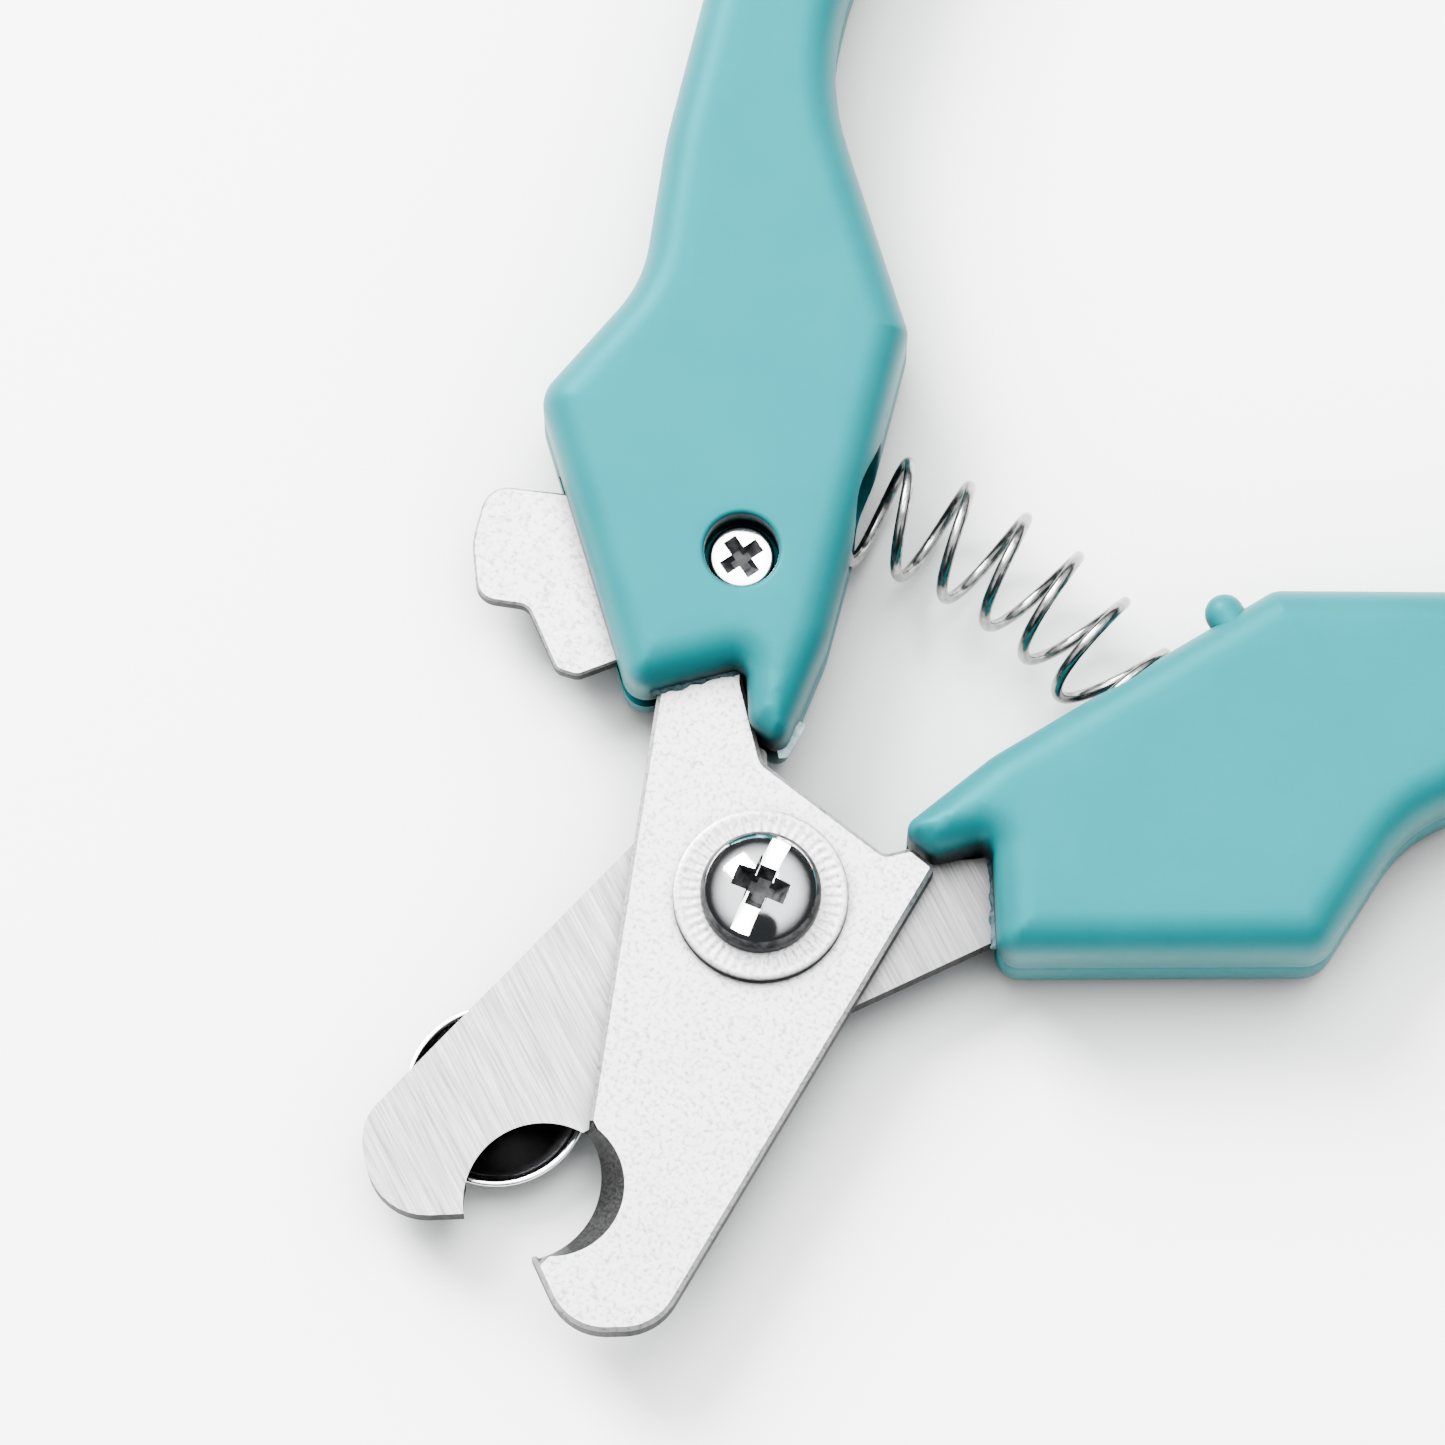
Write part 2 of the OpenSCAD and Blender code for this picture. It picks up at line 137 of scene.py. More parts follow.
def resampled(loop, step):
    """The closed outline with long edges cut to at most step."""
    out = []
    for p, q in zip(loop, np.roll(loop, -1, axis=0)):
        n = max(1, math.ceil(np.linalg.norm(q - p) / step))
        out += [p + (q - p) * i / n for i in range(n)]
    out = np.array(out)
    gap = np.linalg.norm(out - np.roll(out, 1, axis=0), axis=1)
    return out[gap > 1e-4]


def area(loop):
    x, y = loop[:, 0], loop[:, 1]
    return 0.5 * float(np.sum(x * np.roll(y, -1) - np.roll(x, -1) * y))


def left_turning(loop):
    return loop if area(loop) > 0 else loop[::-1]


def outward(loop):
    """Unit normals of a left-turning outline at its points."""
    t = np.roll(loop, -1, axis=0) - np.roll(loop, 1, axis=0)
    t /= np.linalg.norm(t, axis=1)[:, None]
    return np.stack([t[:, 1], -t[:, 0]], axis=1)


def distance(points, loop):
    """Distance of each point to the closed outline, worked out for a batch of points at a time."""
    d = np.roll(loop, -1, axis=0) - loop
    size = np.maximum((d ** 2).sum(1), TINY)
    out = np.empty(len(points))
    for i in range(0, len(points), BATCH):
        p = points[i:i + BATCH, None, :] - loop[None]
        t = np.clip((p * d).sum(2) / size, 0, 1)
        out[i:i + BATCH] = np.sqrt(((p - t[..., None] * d) ** 2).sum(2).min(1))
    return out


def within(points, loop):
    """Whether each point lies in the closed outline."""
    x = points[:, 0][:, None]
    y = points[:, 1][:, None]
    a = loop
    b = np.roll(loop, -1, axis=0)
    cross = (a[:, 1] > y) != (b[:, 1] > y)
    run, rise = (b - a).T
    rise = np.where(np.abs(rise) < TINY, TINY, rise)
    at = a[:, 0] + (y - a[:, 1]) * run / rise
    return ((cross & (x < at)).sum(1) % 2) == 1


def ring_points(loop, offsets):
    """Points inside the outline at each offset from it, without the ones that crowd another part of it."""
    out = []
    n = outward(loop)
    for d in offsets:
        p = loop - n * d
        least = d - 0.004 - 0.01 * d
        out.append(p[within(p, loop) & (distance(p, loop) > least)])
    return np.concatenate(out)


def grid_points(loop, step, margin):
    """A grid of equal-sided triangles inside the outline, no nearer to it than margin."""
    lo = loop.min(0)
    hi = loop.max(0)
    row = step * 0.87
    pts = []
    for j, y in enumerate(np.arange(lo[1], hi[1], row)):
        start = lo[0] + (j % 2) * step / 2
        pts += [[x, y] for x in np.arange(start, hi[0], step)]
    pts = np.array(pts)
    pts = pts[within(pts, loop)]
    return pts[distance(pts, loop) > margin]


def thinned(points):
    """The points with near duplicates dropped."""
    kept = {}
    for p in points:
        col = math.floor(p[0] / SAME_POINT)
        row = math.floor(p[1] / SAME_POINT)
        cells = [(col + i, row + j) for i in (-1, 0, 1) for j in (-1, 0, 1)]
        near = [kept[cell] for cell in cells if cell in kept]
        if all(abs(p[0] - q[0]) + abs(p[1] - q[1]) > SAME_POINT for q in near):
            kept[(col, row)] = p
    return np.array(list(kept.values()))


# ---- meshes ----

def make_object(name, verts, faces, mat, smooth=35.0):
    """A mesh object from millimetre points."""
    points = [tuple(float(c) * MM for c in v) for v in verts]
    mesh = bpy.data.meshes.new(name)
    mesh.from_pydata(points, [], [tuple(int(i) for i in f) for f in faces])
    mesh.validate()
    mesh.update()
    obj = in_scene(name, mesh)
    finish_mesh(obj, mat, smooth)
    return obj


def in_scene(name, data):
    """A new object in the scene for a mesh, a light or a camera."""
    obj = bpy.data.objects.new(name, data)
    bpy.context.scene.collection.objects.link(obj)
    return obj


def remove(obj):
    """Deletes an object and its mesh."""
    data = obj.data
    bpy.data.objects.remove(obj)
    bpy.data.meshes.remove(data)


def finish_mesh(obj, mat, smooth):
    """Smooth shading with sharp edges; without a material the mesh keeps its own."""
    mesh = obj.data
    mesh.polygons.foreach_set("use_smooth", [True] * len(mesh.polygons))
    mesh.set_sharp_from_angle(angle=math.radians(smooth))
    if mat:
        mesh.materials.clear()
        mesh.materials.append(mat)


def sheet(loop, points, creases):
    """Flat triangles over a left-turning outline, with the points as vertices and the creases as edges."""
    pts = [tuple(p) for p in loop]
    edges = [(i, (i + 1) % len(loop)) for i in range(len(loop))]
    for line in creases:
        start = len(pts)
        pts += [tuple(p) for p in line]
        edges += [(start + i, start + i + 1) for i in range(len(line) - 1)]
    pts += [tuple(p) for p in points]
    flat, _, faces, _, _, _ = delaunay_2d_cdt([Vector(p) for p in pts], edges, [], 1, 1e-5)
    flat = np.array([tuple(v) for v in flat])
    faces = np.array(list(faces))
    a, b, c = (flat[faces[:, i]] for i in range(3))
    spin = (b - a)[:, 0] * (c - a)[:, 1] - (b - a)[:, 1] * (c - a)[:, 0]
    if spin.sum() < 0:
        faces = faces[:, ::-1]
    return flat, faces


def solid(name, loop, height, base_z, mat, points=(), creases=(), seam=0.0, smooth=35.0):
    """A closed solid over the outline: its face follows height(points), its back is flat at base_z.
    The face may be above or below the back. creases are polylines that the face's edges follow.
    A seam draws the back's rim in, as one side of a parting groove."""
    flat, faces = sheet(left_turning(np.array(loop)), points, creases)
    z = height(flat)
    up = float(np.mean(z)) > base_z
    rim = boundary_loop(faces)
    ring = flat[rim]
    m = len(rim)
    verts = [(p[0], p[1], h) for p, h in zip(flat, z)]
    walls = [rim]

    def add_ring(outline, at):
        walls.append(list(range(len(verts), len(verts) + m)))
        verts.extend([(p[0], p[1], at) for p in outline])

    if seam:
        add_ring(ring, base_z + (seam if up else -seam))
    add_ring(ring - outward(ring) * seam, base_z)
    polys = [tuple(f) for f in faces]
    for upper, lower in zip(walls, walls[1:]):
        for i in range(m):
            j = (i + 1) % m
            polys.append((lower[i], lower[j], upper[j], upper[i]))
    polys.append(tuple(walls[-1][::-1]))
    if not up:
        polys = [p[::-1] for p in polys]
    return make_object(name, verts, polys, mat, smooth)


def boundary_loop(faces):
    """The vertices of a triangle sheet's outer edge, in order."""
    seen = {}
    for f in faces:
        for i in range(3):
            seen[(int(f[i]), int(f[(i + 1) % 3]))] = True
    follow = {a: b for (a, b) in seen if (b, a) not in seen}
    start = next(iter(follow))
    out = [start]
    while follow[out[-1]] != start:
        out.append(follow[out[-1]])
        if len(out) > len(follow):
            raise ValueError("the sheet's edge is not one loop")
    if len(out) < len(follow):
        raise ValueError("the sheet has %d loose edges" % (len(follow) - len(out)))
    return out


def lathe(name, profile, mat, n=96, place=None, smooth=35.0):
    """Turns a profile of (radius, height) about Z. Points at radius 0 close it."""
    way = [polar(1, 2 * math.pi * i / n) for i in range(n)]
    verts = []
    rows = []
    for r, z in profile:
        if r < ON_AXIS:
            rows.append([len(verts)] * n)
            verts.append((0, 0, z))
        else:
            rows.append(list(range(len(verts), len(verts) + n)))
            verts += [(r * x, r * y, z) for x, y in way]
    faces = []
    for lower, upper in zip(rows, rows[1:]):
        for i in range(n):
            j = (i + 1) % n
            quad = (lower[i], lower[j], upper[j], upper[i])
            faces.append(tuple(dict.fromkeys(quad)))
    faces = [f for f in faces if len(f) > 2]
    if place is not None:
        verts = [tuple(place @ Vector(v)) for v in verts]
    return make_object(name, verts, faces, mat, smooth)


def quarter(cx, cz, r, start, sweep=90, n=6):
    """Profile points on an arc, angles in degrees."""
    angles = [math.radians(start + sweep * i / n) for i in range(n + 1)]
    return [(cx + r * math.cos(a), cz + r * math.sin(a)) for a in angles]


def prism(name, loop, z0, z1):
    """A plain cutter: the outline pulled up from z0 to z1."""
    return solid(name, np.array(loop), lambda p: np.full(len(p), z1), z0, None)


def shade_sides(obj, mat):
    """Gives the upright sides of a punched piece a near-black material of their own, as painted shade."""
    obj.data.materials.append(mat)
    index = len(obj.data.materials) - 1
    for p in obj.data.polygons:
        if abs(p.normal.z) < 0.3 and p.material_index == 0:
            p.material_index = index


def carve(obj, cutters, smooth=35.0):
    """Cuts the tools out of obj and removes them. A tool's material, if it has one, lines its cut."""
    mat = obj.data.materials[0]
    mixed = any(tool.data.materials for tool in cutters)
    for tool in cutters:
        mod = obj.modifiers.new("cut", "BOOLEAN")
        mod.operation = "DIFFERENCE"
        mod.solver = "EXACT"
        mod.object = tool
        mod.material_mode = "TRANSFER" if tool.data.materials else "INDEX"
    bpy.context.view_layer.update()
    graph = bpy.context.evaluated_depsgraph_get()
    mesh = bpy.data.meshes.new_from_object(obj.evaluated_get(graph))
    obj.modifiers.clear()
    old = obj.data
    obj.data = mesh
    bpy.data.meshes.remove(old)
    mesh.name = obj.name
    for tool in cutters:
        remove(tool)
    finish_mesh(obj, None if mixed else mat, smooth)


def joined(name, objs):
    """One object out of several that have the same material."""
    verts = []
    faces = []
    sharp = set()
    for o in objs:
        start = len(verts)
        verts += [tuple(v.co) for v in o.data.vertices]
        faces += [tuple(start + i for i in p.vertices) for p in o.data.polygons]
        for e in o.data.edges:
            if e.use_edge_sharp:
                sharp.add(tuple(sorted(start + i for i in e.vertices)))
    mesh = bpy.data.meshes.new(name)
    mesh.from_pydata(verts, [], faces)
    mesh.materials.append(objs[0].data.materials[0])
    mesh.polygons.foreach_set("use_smooth", [True] * len(faces))
    for e in mesh.edges:
        e.use_edge_sharp = tuple(sorted(e.vertices)) in sharp
    mesh.update()
    for o in objs:
        remove(o)
    return in_scene(name, mesh)


# ---- materials ----

class Nodes:
    """A small helper that adds and links the shader nodes of one material or world."""

    def __init__(self, owner):
        owner.use_nodes = True
        self.owner = owner
        self.tree = owner.node_tree

    def add(self, kind, **values):
        node = self.tree.nodes.new(kind)
        for key, value in values.items():
            setattr(node, key, value)
        return node

    def link(self, out, into):
        self.tree.links.new(out, into)

    def put(self, socket, value):
        """Gives a socket a number or a colour, or links another node's output to it."""
        if isinstance(value, (int, float)):
            socket.default_value = value
        elif isinstance(value, tuple):
            socket.default_value = (*value, 1)
        else:
            self.link(value, socket)

    def place(self, scale=(1, 1, 1), turn=0.0):
        """Object coordinates, turned about Z in degrees and stretched."""
        coords = self.add("ShaderNodeTexCoord")
        spin = self.add("ShaderNodeMapping")
        spin.inputs["Rotation"].default_value = (0, 0, math.radians(turn))
        stretch = self.add("ShaderNodeMapping")
        stretch.inputs["Scale"].default_value = scale
        self.link(coords.outputs["Object"], spin.inputs["Vector"])
        self.link(spin.outputs["Vector"], stretch.inputs["Vector"])
        return stretch.outputs["Vector"]

    def noise(self, scale, detail=3.0, rough=0.55, vector=None):
        node = self.add("ShaderNodeTexNoise")
        node.inputs["Scale"].default_value = scale
        node.inputs["Detail"].default_value = detail
        node.inputs["Roughness"].default_value = rough
        self.link(vector or self.place(), node.inputs["Vector"])
        return node.outputs["Fac"]

    def ramp(self, value, low, high, at=(0.0, 1.0)):
        """Maps a value between two colours."""
        node = self.add("ShaderNodeValToRGB")
        node.color_ramp.elements[0].position = at[0]
        node.color_ramp.elements[1].position = at[1]
        node.color_ramp.elements[0].color = (*low, 1)
        node.color_ramp.elements[1].color = (*high, 1)
        self.link(value, node.inputs["Fac"])
        return node.outputs["Color"]

    def span(self, value, low, high, at=(0.0, 1.0), kind="LINEAR"):
        """Maps a value between two numbers."""
        node = self.add("ShaderNodeMapRange", interpolation_type=kind)
        node.inputs["From Min"].default_value = at[0]
        node.inputs["From Max"].default_value = at[1]
        node.inputs["To Min"].default_value = low
        node.inputs["To Max"].default_value = high
        self.link(value, node.inputs["Value"])
        return node.outputs["Result"]

    def mix(self, factor, a, b):
        """Mixes two colours: sockets 6 and 7 are the node's colour inputs and output 2 is its colour."""
        node = self.add("ShaderNodeMix", data_type="RGBA")
        self.put(node.inputs["Factor"], factor)
        self.put(node.inputs[6], a)
        self.put(node.inputs[7], b)
        return node.outputs[2]

    def bump(self, value, strength, depth):
        """A normal for relief of this depth (mm)."""
        node = self.add("ShaderNodeBump")
        node.inputs["Strength"].default_value = strength
        node.inputs["Distance"].default_value = depth * MM
        self.link(value, node.inputs["Height"])
        return node.outputs["Normal"]

    def with_painted_shade(self, colour, dark, reach, at=(0.18, 0.80)):
        """The colour, deepened to dark in corners and recesses narrower than reach (mm): painted shade
        from ambient occlusion.
        """
        node = self.add("ShaderNodeAmbientOcclusion", samples=8)
        node.inputs["Distance"].default_value = reach * MM
        open_air = self.span(node.outputs["AO"], 0.0, 1.0, at)
        return self.mix(open_air, dark, colour)

    def set(self, **values):
        """Fills in the material's Principled sockets and gives the material back."""
        bsdf = self.tree.nodes["Principled BSDF"]
        for key, value in values.items():
            self.put(bsdf.inputs[key.replace("_", " ")], value)
        return self.owner


def material(name):
    return Nodes(bpy.data.materials.new(name))


def teal_plastic():
    n = material("teal_plastic")
    cloud = n.noise(160, 4)
    fleck = n.noise(2600, 2)
    base = n.ramp(cloud, (0.0003, 0.079, 0.086), (0.0005, 0.090, 0.098), (0.3, 0.7))
    tint = n.mix(n.span(fleck, 0.0, 0.10, (0.55, 0.8)), base, (0.004, 0.12, 0.13))
    # painted shade: the teal deepened in corners and recesses, broadly within 10 mm and more within 5 mm,
    # as at the blades' roots and the heels
    tint = n.with_painted_shade(tint, (0.0002, 0.004, 0.005), 10.0, (0.20, 0.66))
    tint = n.with_painted_shade(tint, (0.0001, 0.001, 0.0012), 5.0, (0.30, 0.84))
    return n.set(Base_Color=tint, Roughness=n.span(cloud, 0.42, 0.52), Specular_IOR_Level=0.30,
                 Specular_Tint=(0.02, 0.80, 0.92), Normal=n.bump(n.noise(1400, 4), 0.10, 0.10))


def blade_steel():
    n = material("blade_steel")
    grain = n.noise(3300, 3)
    patch = n.noise(240, 4)
    base = n.ramp(grain, (0.17, 0.17, 0.17), (0.37, 0.37, 0.37), (0.30, 0.52))
    # painted shade: the steel darkened in corners within 2.5 mm
    base = n.with_painted_shade(base, (0.05, 0.05, 0.05), 2.5)
    return n.set(Base_Color=base, Metallic=0.9, Roughness=n.span(patch, 0.36, 0.46),
                 Normal=n.bump(grain, 0.22, 0.06))


GRIND_ANGLE = 26.4


def ground_steel():
    """The rear blade, with grinding lines, and painted shade under the front blade and in corners."""
    n = material("ground_steel")
    lines = n.noise(1.0, 4, 0.65, n.place((160, 5200, 160), GRIND_ANGLE))
    broad = n.noise(1.0, 2, 0.5, n.place((60, 1300, 60), GRIND_ANGLE))
    base = n.ramp(lines, (0.08, 0.08, 0.08), (0.27, 0.27, 0.27), (0.28, 0.66))
    across = n.add("ShaderNodeSeparateXYZ")
    n.link(n.place(), across.inputs["Vector"])
    # painted shade under the front blade: the rear blade darkens from 3 mm to 15 mm in X, towards its
    # tang; then painted shade in corners within 5 mm
    under_blade_shade = n.span(across.outputs["X"], 0.0, 0.80, (3 * MM, 15 * MM))
    base = n.mix(under_blade_shade, base, (0.05, 0.05, 0.05))
    base = n.with_painted_shade(base, (0.03, 0.03, 0.03), 5.0)
    return n.set(Base_Color=base, Metallic=0.9, Roughness=n.span(broad, 0.30, 0.46),
                 Normal=n.bump(n.mix(0.4, lines, broad), 0.25, 0.06))


def shaded_notch_steel():
    """The ground bevels of the notches, painted near black as painted shade; the grinding lines are the
    steel's own.
    """
    n = material("shaded_notch_steel")
    lines = n.noise(1.0, 3, 0.6, n.place((5200, 5200, 120)))
    base = n.ramp(lines, (0.014, 0.014, 0.015), (0.085, 0.085, 0.085), (0.25, 0.78))
    return n.set(Base_Color=base, Metallic=1.0, Roughness=0.42)


def shaded_cut_steel():
    """The punched sides of the blades, the lock plate and the washer, painted near black with almost no
    reflection, as painted shade.
    """
    n = material("shaded_cut_steel")
    lines = n.noise(1.0, 3, 0.6, n.place((3000, 3000, 200)))
    base = n.ramp(lines, (0.005, 0.005, 0.005), (0.030, 0.030, 0.030), (0.3, 0.7))
    return n.set(Base_Color=base, Roughness=0.45, Specular_IOR_Level=0.03)


def plated_steel():
    n = material("plated_steel")
    haze = n.noise(500, 3)
    # painted shade: the plating darkened in corners within 2.6 mm, as round the foot of the screw heads
    base = n.with_painted_shade(n.ramp(haze, (0.86, 0.86, 0.87), (0.90, 0.90, 0.91)), (0.02, 0.02, 0.02), 2.6)
    return n.set(Base_Color=base, Metallic=1.0, Roughness=n.span(haze, 0.05, 0.12),
                 Normal=n.bump(n.noise(900, 3), 0.06, 0.12))


def recess_painted_shade():
    """The slot and cross recesses of the screws, painted near black as painted shade."""
    n = material("recess_painted_shade")
    haze = n.noise(1300, 3)
    base = n.ramp(haze, (0.008, 0.008, 0.009), (0.048, 0.048, 0.050), (0.35, 0.65))
    return n.set(Base_Color=base, Roughness=n.span(haze, 0.30, 0.45), Specular_IOR_Level=0.08)


def cup_inside_shade():
    """The inside of the guard cup: the cup's plating painted near black, as painted shade inside the cup.
    """
    n = material("cup_inside_shade")
    haze = n.noise(700, 3)
    return n.set(Base_Color=(0.10, 0.10, 0.103), Metallic=1.0, Roughness=n.span(haze, 0.16, 0.24))


def flash_and_shade_plastic():
    """The flash along the blades' roots, painted dark as painted shade under the handles' mouth walls."""
    n = material("flash_and_shade_plastic")
    base = n.ramp(n.noise(2600, 3), (0.004, 0.020, 0.024), (0.05, 0.09, 0.10), (0.35, 0.70))
    return n.set(Base_Color=base, Roughness=0.7, Specular_IOR_Level=0.2)


def flash_plastic():
    """The pale flash on the left nose."""
    n = material("flash_plastic")
    base = n.ramp(n.noise(1800, 3), (0.06, 0.20, 0.21), (0.30, 0.42, 0.42), (0.35, 0.65))
    return n.set(Base_Color=base, Roughness=0.35, Specular_IOR_Level=0.4)


def spring_steel():
    n = material("spring_steel")
    haze = n.noise(1500, 3)
    base = n.ramp(haze, (0.15, 0.148, 0.142), (0.30, 0.296, 0.288), (0.35, 0.65))
    # painted shade: the wire darkened where other surfaces crowd it within 1 mm
    base = n.with_painted_shade(base, (0.03, 0.03, 0.03), 1.0)
    return n.set(Base_Color=base, Metallic=1.0, Roughness=n.span(haze, 0.14, 0.26))


def floor_paper():
    n = material("floor_paper")
    base = n.ramp(n.noise(3, 2), (0.90, 0.90, 0.885), (0.92, 0.92, 0.905))
    # painted shadow: the floor darkened within 45 mm of the parts above it, deepening the contact shadows
    base = n.with_painted_shade(base, (0.26, 0.28, 0.28), 45.0, (0.10, 0.97))
    return n.set(Base_Color=base, Roughness=0.9, Specular_IOR_Level=0.15)


# ---- handles ----

HEAD_OUTER = [(4.75, 8.85, 0.9), (7.6, 8.95, 1.5), (10.1, 12.0, 0.8), (13.8, 7.5, 0.8),
              (15.1, 5.8, 1.6), (32.3, 18.7, 2.4), (31.5, 29.2, 9), (36.3, 38.3, 30)]
HEAD_INNER = [(30.1, 48.0, 18), (15.05, 36.97, 1.6), (6.75, 16.58, 8)]
NOSE_INNER = np.array([-5.35, 11.6])
NOSE_TIP = np.array([-5.0, 8.75])
ROOT_OUTER = np.array([-14.3, 6.9])
ROOT_INNER = np.array([-10.35, 11.9])
GRIP_START = np.array([37.2, 52.7])
GRIP_IN = math.radians(22.5)
GRIP_OUT = math.radians(-2)
GRIP_R = 103
GRIP_STEPS = 40
NECK_W = 4.7
GRIP_W = 5.6
END_W = 5.2


def grip_angle(t):
    return GRIP_IN + (GRIP_OUT - GRIP_IN) * t


def grip_centre(t):
    a = grip_angle(t)
    run = math.cos(a) - math.cos(GRIP_IN)
    rise = math.sin(GRIP_IN) - math.sin(a)
    return GRIP_START + GRIP_R * np.array([run, rise])


def grip_width(t):
    swell = GRIP_W - (NECK_W + END_W) / 2
    return NECK_W * (1 - t) + END_W * t + swell * math.sin(math.pi * t)


def grip_point(t, side):
    a = grip_angle(t)
    return grip_centre(t) + side * grip_width(t) * np.array([math.cos(a), -math.sin(a)])


def handle_outline():
    """Outline of the right handle: head, then out along the grip, round its end and back."""
    near = [grip_point(i / GRIP_STEPS, 1) for i in range(GRIP_STEPS + 1)]
    back = [grip_point(1 - i / GRIP_STEPS, -1) for i in range(GRIP_STEPS + 1)]
    cap = arc(grip_centre(1), END_W, -GRIP_OUT, math.pi, 24)[1:-1]
    ring = HEAD_OUTER + [(*near[0], 1), (*back[-1], 1)] + HEAD_INNER
    xy = [np.array(p[:2], float) for p in ring]
    first = len(HEAD_OUTER)
    out = []
    for i, p in enumerate(ring):
        if i == first:
            out += near + cap + back
        elif i != first + 1:
            out += corner(xy[i - 1], xy[i], xy[(i + 1) % len(ring)], p[2])
    return resampled(np.array(out), OUTLINE_STEP)


def rounded_height(loop, z_face, z_side):
    """Height of a face that rolls over into its side wall."""
    r = abs(z_face - z_side)
    way = 1 if z_face > z_side else -1

    def height(points):
        d = np.minimum(distance(points, loop), r)
        return z_side + way * np.sqrt(np.maximum(r * r - (r - d) ** 2, 0))
    return height


def handle_half(name, loop, front, mat):
    """Half of a handle's moulding, from the seam to its front or rear face, with well rounded edges."""
    z_face = HANDLE_T if front else 0.0
    z_side = HANDLE_T - EDGE_R if front else EDGE_R
    turns = [math.pi / 2 * i / EDGE_STEPS for i in range(1, EDGE_STEPS + 1)]
    edge = ring_points(loop, [EDGE_R * (1 - math.cos(a)) for a in turns])
    face = grid_points(loop, FACE_STEP, EDGE_R + 0.5)
    pts = thinned(np.concatenate([edge, face]))
    return solid(name, loop, rounded_height(loop, z_face, z_side), MID_Z, mat, pts, seam=SEAM,
                 smooth=HANDLE_SMOOTH)


def seat(along, depth, side=1):
    """Point on a handle: distance along the inner face from the pivot, and depth behind it."""
    s, c = math.sin(FACE_ANGLE), math.cos(FACE_ANGLE)
    return np.array([side * (along * s + depth * c), along * c - depth * s])


def face_matrix(p, z, side):
    """Local +Z runs into the handle, square to its inner face."""
    turn = Matrix.Rotation(side * (math.pi / 2), 4, "Y")
    spin = Matrix.Rotation(-side * FACE_ANGLE, 4, "Z")
    return Matrix.Translation((p[0], p[1], z)) @ spin @ turn


def pocket_cutter(side):
    """Round seat for one end of the spring, with a rounded lip."""
    r = SPRING_OD / 2 + 0.25
    lip = 0.25
    above = 1.5
    profile = [(0, -above), (r + lip, -above)]
    profile += quarter(r + lip, lip, lip, 270, -90, 3)
    profile += [(r, POCKET_DEPTH), (0, POCKET_DEPTH)]
    place = face_matrix(seat(SPRING_REACH, 0, side), MID_Z, side)
    return lathe("cut_pocket", profile, None, 72, place)


def counterbore_cutter():
    """Bore over the lock screw's head, with a rounded lip."""
    r = 2.5
    lip = 0.35
    floor = LOCK_HEAD_TOP - LOCK_HEAD_T
    above = HANDLE_T + 2
    profile = [(0, floor), (r, floor), (r, HANDLE_T - lip)]
    profile += quarter(r + lip, HANDLE_T - lip, lip, 180, -90)[1:]
    profile += [(r + lip, above), (0, above)]
    return lathe("cut_bore", profile, None, 72, Matrix.Translation((*LOCK_AXIS, 0)))


def lock_room_cutter():
    """The space that the lock plate sweeps: a sector about its screw, joined to a round seat."""
    start = math.radians(186.5)
    sweep = math.radians(122.5)
    reach, hub, steps = 20.0, 3.5, 24
    loop = arc(LOCK_AXIS, hub, start + sweep, 2 * math.pi - sweep, steps)
    loop += arc(LOCK_AXIS, reach, start, sweep, steps)
    return prism("cut_lock", resampled(np.array(loop), 5.0), LOCK_Z - LOCK_PLAY, MID_Z + 1)


def hexagon(centre, flats):
    """Outline of a hexagon by its size across flats."""
    r = flats / 2 / math.cos(math.pi / 6)
    return np.array([np.array(centre) + polar(r, math.pi / 3 * i) for i in range(6)])


def build_handles(mat):
    right = handle_outline()
    left = mirrored(right)
    lf = handle_half("shell_left_front", left, True, mat)
    lr = handle_half("shell_left_rear", left, False, mat)
    rf = handle_half("shell_right_front", right, True, mat)
    rr = handle_half("shell_right_rear", right, False, mat)
    carve(lf, [pocket_cutter(-1), counterbore_cutter()], smooth=HANDLE_SMOOTH)
    nut_room = prism("cut_nut", hexagon(LOCK_AXIS, NUT_FLATS), -1, NUT_ROOM_TOP)
    carve(lr, [pocket_cutter(-1), lock_room_cutter(), nut_room], smooth=HANDLE_SMOOTH)
    carve(rf, [pocket_cutter(1)], smooth=HANDLE_SMOOTH)
    carve(rr, [pocket_cutter(1)], smooth=HANDLE_SMOOTH)
    rf = joined("shell_right_front", [rf, stop_nub(mat)])
    for piece, node in ((lf, "left_handle_front"), (lr, "left_handle_rear")):
        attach(piece, "left_half")
        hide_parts(node)
    for piece, node in ((rf, "right_handle_front"), (rr, "right_handle_rear")):
        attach(piece, "right_half")
        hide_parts(node)


def stop_nub(mat):
    """Domed rest on the right handle's inner face, seen from above as a round knob."""
    r, out, root = 1.32, 1.7, 1.5
    place = face_matrix(seat(NUB_REACH, 0), MID_Z + NUB_RISE, 1) @ Matrix.Rotation(math.pi, 4, "X")
    profile = [(0, -root), (r, -root), (r, out - r)]
    profile += quarter(0, out - r, r, 0, 90, 10)[1:-1]
    profile += [(0, out)]
    return lathe("nub", profile, mat, 40, place, 60)


# ---- blades ----

